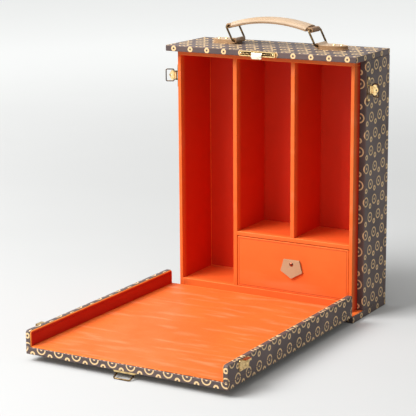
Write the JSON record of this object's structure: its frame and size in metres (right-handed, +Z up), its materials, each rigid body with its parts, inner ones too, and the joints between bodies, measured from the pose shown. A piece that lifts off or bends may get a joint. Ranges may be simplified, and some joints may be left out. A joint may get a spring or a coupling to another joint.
{
  "type": "wine case",
  "caption": "Upright box-shaped wine case with an arched top handle, a drop-down front door, a bottle bay, glass bays over a drawer, and side latches.",
  "frame": {"origin": "centre of the base slab's underside, on the surface the case stands on", "axes": "+X to the right seen from the open front, +Y to the back, +Z up"},
  "size_m": [0.3364, 0.4648, 0.4077],
  "materials": {
    "patterned_canvas": "coated brown canvas over board with a small tan print",
    "orange_lining": "smooth matt orange leather lining over board",
    "tan_leather": "natural vegetable-tanned leather with darker edges",
    "aged_brass": "antiqued brass, dark in its recesses",
    "bright_brass": "polished pale brass"
  },
  "bodies": {
    "case": {"base_slab": "patterned_canvas", "top_slab": "patterned_canvas", "back_wall": "patterned_canvas", "side_wall_left": "patterned_canvas", "side_wall_right": "patterned_canvas", "carcass_wall_left": "orange_lining", "carcass_wall_right": "orange_lining", "carcass_top": "orange_lining", "floor_board": "orange_lining", "back_lining": "orange_lining", "divider_left": "orange_lining", "divider_right": "orange_lining", "glass_shelf": "orange_lining", "ledge_lining": "orange_lining", "hinge_strip_case": "patterned_canvas", "handle_strap_left": "tan_leather", "handle_strap_right": "tan_leather", "handle_pad_left": "tan_leather", "handle_pad_right": "tan_leather", "handle_studs": "aged_brass", "latch_base_left": "aged_brass", "latch_base_right": "aged_brass", "latch_pins": "aged_brass", "latch_rivets": "aged_brass", "clasp_frame": "aged_brass", "clasp_pin": "aged_brass", "clasp_screws": "aged_brass"},
    "door": {"door_board": "patterned_canvas", "door_lip_left": "patterned_canvas", "door_lip_right": "patterned_canvas", "door_lining": "orange_lining", "lip_lining_left": "orange_lining", "lip_lining_right": "orange_lining", "door_end_lining": "orange_lining", "hinge_strip_door": "patterned_canvas", "lip_keeper_left": "aged_brass", "lip_keeper_right": "aged_brass", "keeper_rivets": "aged_brass", "door_clasp_plate": "aged_brass", "door_clasp_screws": "aged_brass"},
    "door_bail": {"door_clasp_bail": "aged_brass"},
    "drawer": {"drawer_front": "orange_lining", "drawer_side_left": "orange_lining", "drawer_side_right": "orange_lining", "drawer_bottom": "orange_lining", "drawer_back": "orange_lining", "pull_tab": "tan_leather", "pull_tab_rivet": "aged_brass"},
    "handle_ring_left": {"handle_ring_left": "aged_brass"},
    "handle_ring_right": {"handle_ring_right": "aged_brass"},
    "handle_grip": {"grip_strap": "tan_leather", "grip_cover": "tan_leather"},
    "latch_lever_left": {"latch_lever_left": "aged_brass"},
    "latch_lever_right": {"latch_lever_right": "aged_brass"},
    "latch_loop_left": {"latch_loop_left": "aged_brass"},
    "latch_loop_right": {"latch_loop_right": "aged_brass"},
    "clasp_hook": {"clasp_hook": "bright_brass"}
  },
  "joints": [
    {"name": "door_hinge", "type": "hinge", "parent": "case", "child": "door", "pos_m": [0, -0.055, 0.0095], "axis": [-1, 0, 0], "range_deg": [0, 90]},
    {"name": "drawer_slide", "type": "slide", "parent": "case", "child": "drawer", "axis": [0, 1, 0], "range_m": [-0.06, 0]},
    {"name": "handle_left_swing", "type": "hinge", "parent": "case", "child": "handle_ring_left", "pos_m": [-0.065, 0.0085, 0.37306], "axis": [0, 1, 0], "range_deg": [-33, 87]},
    {"name": "handle_right_swing", "type": "hinge", "parent": "case", "child": "handle_ring_right", "pos_m": [0.065, 0.0085, 0.37306], "axis": [0, 1, 0], "range_deg": [-33, 87]},
    {"name": "grip_swing", "type": "hinge", "parent": "handle_ring_left", "child": "handle_grip", "pos_m": [-0.07544, 0.0085, 0.39355], "axis": [0, 1, 0], "range_deg": [-87, 33]},
    {"name": "latch_lever_left_turn", "type": "hinge", "parent": "case", "child": "latch_lever_left", "pos_m": [-0.1537, -0.0185, 0.32], "axis": [0, 0, -1], "range_deg": [-30, 90]},
    {"name": "latch_lever_right_turn", "type": "hinge", "parent": "case", "child": "latch_lever_right", "pos_m": [0.1537, -0.0185, 0.32], "axis": [0, 0, 1], "range_deg": [-30, 90]},
    {"name": "latch_loop_left_swing", "type": "hinge", "parent": "latch_lever_left", "child": "latch_loop_left", "pos_m": [-0.157, -0.0185, 0.32], "axis": [0, 0, -1], "range_deg": [-155.01, 52]},
    {"name": "latch_loop_right_swing", "type": "hinge", "parent": "latch_lever_right", "child": "latch_loop_right", "pos_m": [0.157, -0.0185, 0.32], "axis": [0, 0, 1], "range_deg": [-155.01, 52]},
    {"name": "door_bail_swing", "type": "hinge", "parent": "door", "child": "door_bail", "pos_m": [0, -0.395, 0.0072], "axis": [-1, 0, 0], "range_deg": [-138, 0]},
    {"name": "clasp_hook_swing", "type": "hinge", "parent": "case", "child": "clasp_hook", "pos_m": [0, -0.0578, 0.36375], "axis": [1, 0, 0], "range_deg": [-60, 0]}
  ],
  "couplings": [
    {"joint": "handle_right_swing", "follows": "handle_left_swing", "ratio": 1},
    {"joint": "grip_swing", "follows": "handle_left_swing", "ratio": -1},
    {"joint": "latch_loop_left_swing", "follows": "latch_lever_left_turn", "ratio": -1.7222},
    {"joint": "latch_loop_right_swing", "follows": "latch_lever_right_turn", "ratio": -1.7222}
  ]
}
